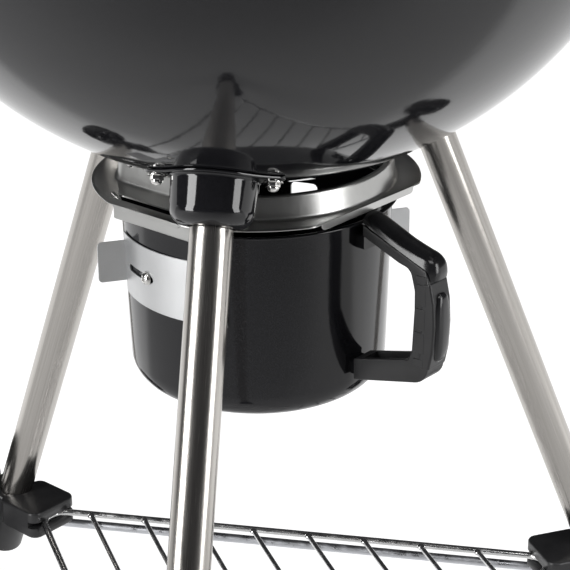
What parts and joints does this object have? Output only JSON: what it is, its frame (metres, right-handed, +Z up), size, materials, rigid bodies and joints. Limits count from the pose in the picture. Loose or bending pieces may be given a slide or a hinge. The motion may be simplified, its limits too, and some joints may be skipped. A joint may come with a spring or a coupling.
{
  "type": "kettle charcoal grill",
  "caption": "Round enamel kettle grill on splayed tube legs with wheels, a wire shelf, lift-off lid, grates, and an ash pot with handle and air dampers that slides out under the bowl.",
  "frame": {"origin": "on the ground, at the middle of the footprint from the front foot to the back of the lid's brim", "axes": "+Z up, the single front leg and the thermometer towards -Y, the wheels' axle along X"},
  "size_m": [0.706, 0.6676, 0.9685],
  "materials": {
    "black_enamel": "gloss porcelain enamel",
    "brushed_stainless": "brushed along the tube",
    "satin_stainless": "satin pressed sheet",
    "damper_aluminium": "fine satin sheet",
    "bright_plate": "bright nickel plate",
    "black_nylon": "fine moulded grain",
    "gloss_black_nylon": "smooth satin gloss",
    "grate_plate": "plated wire",
    "coal_grate_steel": "dull heat-dark steel",
    "zinc_plate": "zinc plate",
    "tyre_rubber": "matt rubber",
    "dial_white": "printed dial",
    "needle_red": "painted pointer",
    "gauge_glass": "clear"
  },
  "bodies": {
    "root": {"bowl": "black_enamel", "ash_pot_ring": "satin_stainless", "ring_bolts": "bright_plate", "leg_socket_front": "black_enamel", "leg_socket_rear_left": "black_enamel", "leg_socket_rear_right": "black_enamel", "socket_bolts": "bright_plate", "leg_front": "brushed_stainless", "leg_rear_left": "brushed_stainless", "leg_rear_right": "brushed_stainless", "front_foot": "black_nylon", "axle_block_left": "black_nylon", "axle_block_right": "black_nylon", "axle": "zinc_plate", "axle_cap_nuts": "bright_plate", "wire_shelf": "grate_plate", "shelf_clips": "black_nylon", "charcoal_grate_rests": "zinc_plate", "cooking_grate_rests": "zinc_plate", "side_handle_bar_left": "bright_plate", "side_handle_bar_right": "bright_plate", "side_handle_grip_left": "black_nylon", "side_handle_grip_right": "black_nylon", "side_handle_bolts": "bright_plate"},
    "pot": {"ash_pot": "black_enamel", "damper_screws": "bright_plate", "pot_handle_body": "black_nylon", "pot_handle_cap": "gloss_black_nylon", "pot_handle_pad": "gloss_black_nylon", "pot_handle_brackets": "zinc_plate"},
    "damper_left": {"damper_left": "damper_aluminium"},
    "damper_right": {"damper_right": "damper_aluminium"},
    "charcoal_grate": {"charcoal_grate": "coal_grate_steel"},
    "cooking_grate": {"cooking_grate": "grate_plate"},
    "lid": {"lid": "black_enamel", "lid_damper_rivet": "bright_plate", "lid_handle_posts": "bright_plate", "lid_heat_plate": "satin_stainless", "lid_handle_bar": "black_nylon", "lid_handle_bolts": "bright_plate", "thermometer_case": "bright_plate", "thermometer_nut": "zinc_plate", "thermometer_dial": "dial_white", "thermometer_glass": "gauge_glass"},
    "lid_damper": {"lid_damper": "damper_aluminium"},
    "thermometer_needle": {"thermometer_needle": "needle_red"},
    "wheel_left": {"wheel_left": "black_nylon", "tyre_left": "tyre_rubber"},
    "wheel_right": {"wheel_right": "black_nylon", "tyre_right": "tyre_rubber"}
  },
  "joints": [
    {"name": "ash_pot_slide", "type": "slide", "parent": "root", "child": "pot", "axis": [0.866, -0.5, 0], "range_m": [0, 0.26]},
    {"name": "damper_left_turn", "type": "hinge", "parent": "pot", "child": "damper_left", "pos_m": [0, 0.04129, 0.4327], "axis": [0, 0, 1], "range_deg": [-2, 13]},
    {"name": "damper_right_turn", "type": "hinge", "parent": "pot", "child": "damper_right", "pos_m": [0, 0.04129, 0.4327], "axis": [0, 0, 1], "range_deg": [-2, 13]},
    {"name": "charcoal_grate_lift", "type": "slide", "parent": "root", "child": "charcoal_grate", "axis": [0, 0, 1], "range_m": [0, 0.08]},
    {"name": "cooking_grate_lift", "type": "slide", "parent": "root", "child": "cooking_grate", "axis": [0, 0, 1], "range_m": [0, 0.03]},
    {"name": "lid_lift", "type": "slide", "parent": "root", "child": "lid", "axis": [0, 0, 1], "range_m": [0, 0.25]},
    {"name": "lid_damper_turn", "type": "hinge", "parent": "lid", "child": "lid_damper", "pos_m": [-0.10607, 0.14736, 0.88018], "axis": [-0.3469, 0.3469, 0.8714], "range_deg": [0, 45]},
    {"name": "thermometer_needle_turn", "type": "hinge", "parent": "lid", "child": "thermometer_needle", "pos_m": [0, -0.13071, 0.86654], "axis": [0, -0.5625, 0.8268], "range_deg": [-250, 0]},
    {"name": "wheel_left_spin", "type": "hinge", "parent": "root", "child": "wheel_left", "pos_m": [-0.326, 0.20303, 0.075], "axis": [1, 0, 0], "continuous": true},
    {"name": "wheel_right_spin", "type": "hinge", "parent": "root", "child": "wheel_right", "pos_m": [0.326, 0.20303, 0.075], "axis": [1, 0, 0], "continuous": true}
  ]
}
